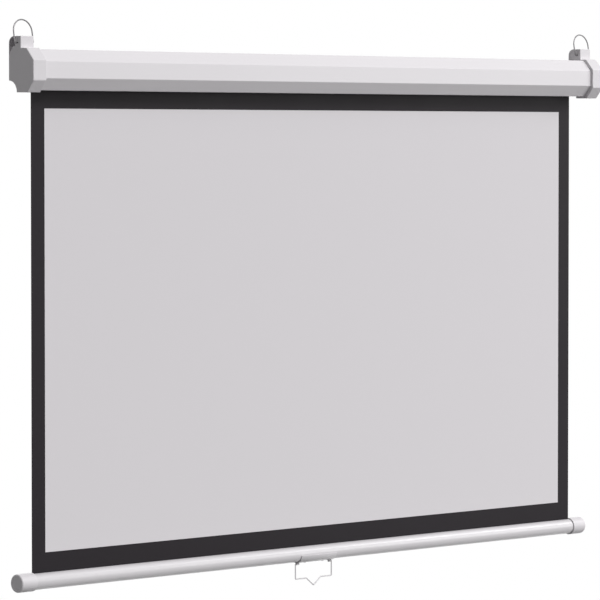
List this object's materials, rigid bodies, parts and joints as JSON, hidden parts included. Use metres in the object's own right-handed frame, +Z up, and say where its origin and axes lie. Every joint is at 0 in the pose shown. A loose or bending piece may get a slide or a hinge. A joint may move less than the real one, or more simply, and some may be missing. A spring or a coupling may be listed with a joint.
{
  "type": "projector screen",
  "caption": "Manual pull-down projector screen: hexagonal case with moulded end caps, spring roller, bordered fabric, round weight bar, wire pull handle and wire hangers.",
  "frame": {"origin": "half way between the tops of the two wire hangers, where the hooks carry the screen", "axes": "+X along the screen to the right as seen from the front, +Y out of the case's back towards the wall, +Z up"},
  "size_m": [1.6058, 0.072, 1.0861],
  "materials": {
    "case_paint": "smooth white powder coat",
    "bar_paint": "satin white paint",
    "cap_plastic": "satin moulded white plastic",
    "fabric_white": "matte white coated fabric with a black border",
    "fabric_black": "matte black coated fabric",
    "plated_steel": "zinc plated",
    "wire_steel": "smooth zinc plated wire",
    "spring_steel": "dark oiled spring wire",
    "nylon": "natural nylon",
    "black_plastic": "moulded black plastic"
  },
  "bodies": {
    "housing": {"case_shell": "case_paint", "left_end_cap": "cap_plastic", "right_end_cap": "cap_plastic", "left_cap_screw_upper": "plated_steel", "left_cap_screw_lower": "plated_steel", "right_cap_screw_upper": "plated_steel", "right_cap_screw_lower": "plated_steel", "left_bracket": "plated_steel", "right_bracket": "plated_steel", "idler_bush": "nylon", "spring_spindle": "plated_steel", "ratchet_wheel": "plated_steel", "spring_anchor": "nylon"},
    "roller": {"roller_tube": "plated_steel", "roller_head": "black_plastic", "idler_plug": "black_plastic", "idler_pin": "plated_steel", "torsion_spring": "spring_steel", "fabric_wraps": "fabric_black", "upper_pawl_pin": "plated_steel", "lower_pawl_pin": "plated_steel"},
    "upper_pawl": {"upper_pawl": "plated_steel"},
    "lower_pawl": {"lower_pawl": "plated_steel"},
    "weight_bar": {"weight_bar": "bar_paint", "left_bar_cap": "cap_plastic", "right_bar_cap": "cap_plastic", "hem_rod": "nylon", "screen_fabric": "fabric_white", "handle_clip": "bar_paint", "left_clip_rivet": "plated_steel", "right_clip_rivet": "plated_steel"},
    "pull_handle": {"pull_handle": "wire_steel"},
    "left_hanger": {"left_hanger": "wire_steel"},
    "right_hanger": {"right_hanger": "wire_steel"}
  },
  "joints": [
    {"name": "screen_lift", "type": "slide", "parent": "housing", "child": "weight_bar", "axis": [0, 0, 1], "range_m": [0, 0.873], "deforming": ["screen_fabric"]},
    {"name": "roller_spin", "type": "hinge", "parent": "housing", "child": "roller", "pos_m": [0, -0.0144, -0.09061], "axis": [1, 0, 0], "range_deg": [0, 2521]},
    {"name": "upper_pawl_drop", "type": "hinge", "parent": "roller", "child": "upper_pawl", "pos_m": [-0.7836, -0.0031, -0.08331], "axis": [1, 0, 0], "range_deg": [0, 26]},
    {"name": "lower_pawl_drop", "type": "hinge", "parent": "roller", "child": "lower_pawl", "pos_m": [-0.7836, -0.0257, -0.09791], "axis": [1, 0, 0], "range_deg": [0, 26]},
    {"name": "handle_swing", "type": "hinge", "parent": "weight_bar", "child": "pull_handle", "pos_m": [-0.0126, 0.00545, -1.03951], "axis": [1, 0, 0], "range_deg": [-95, 95]},
    {"name": "left_hanger_swing", "type": "hinge", "parent": "housing", "child": "left_hanger", "pos_m": [-0.7792, -0.00705, -0.04211], "axis": [1, 0, 0], "range_deg": [-105.5, 124.5]},
    {"name": "right_hanger_swing", "type": "hinge", "parent": "housing", "child": "right_hanger", "pos_m": [0.7792, -0.00705, -0.04211], "axis": [1, 0, 0], "range_deg": [-105.5, 124.5]}
  ],
  "couplings": [
    {"joint": "roller_spin", "follows": "screen_lift", "rad_per_m": 50.378}
  ]
}
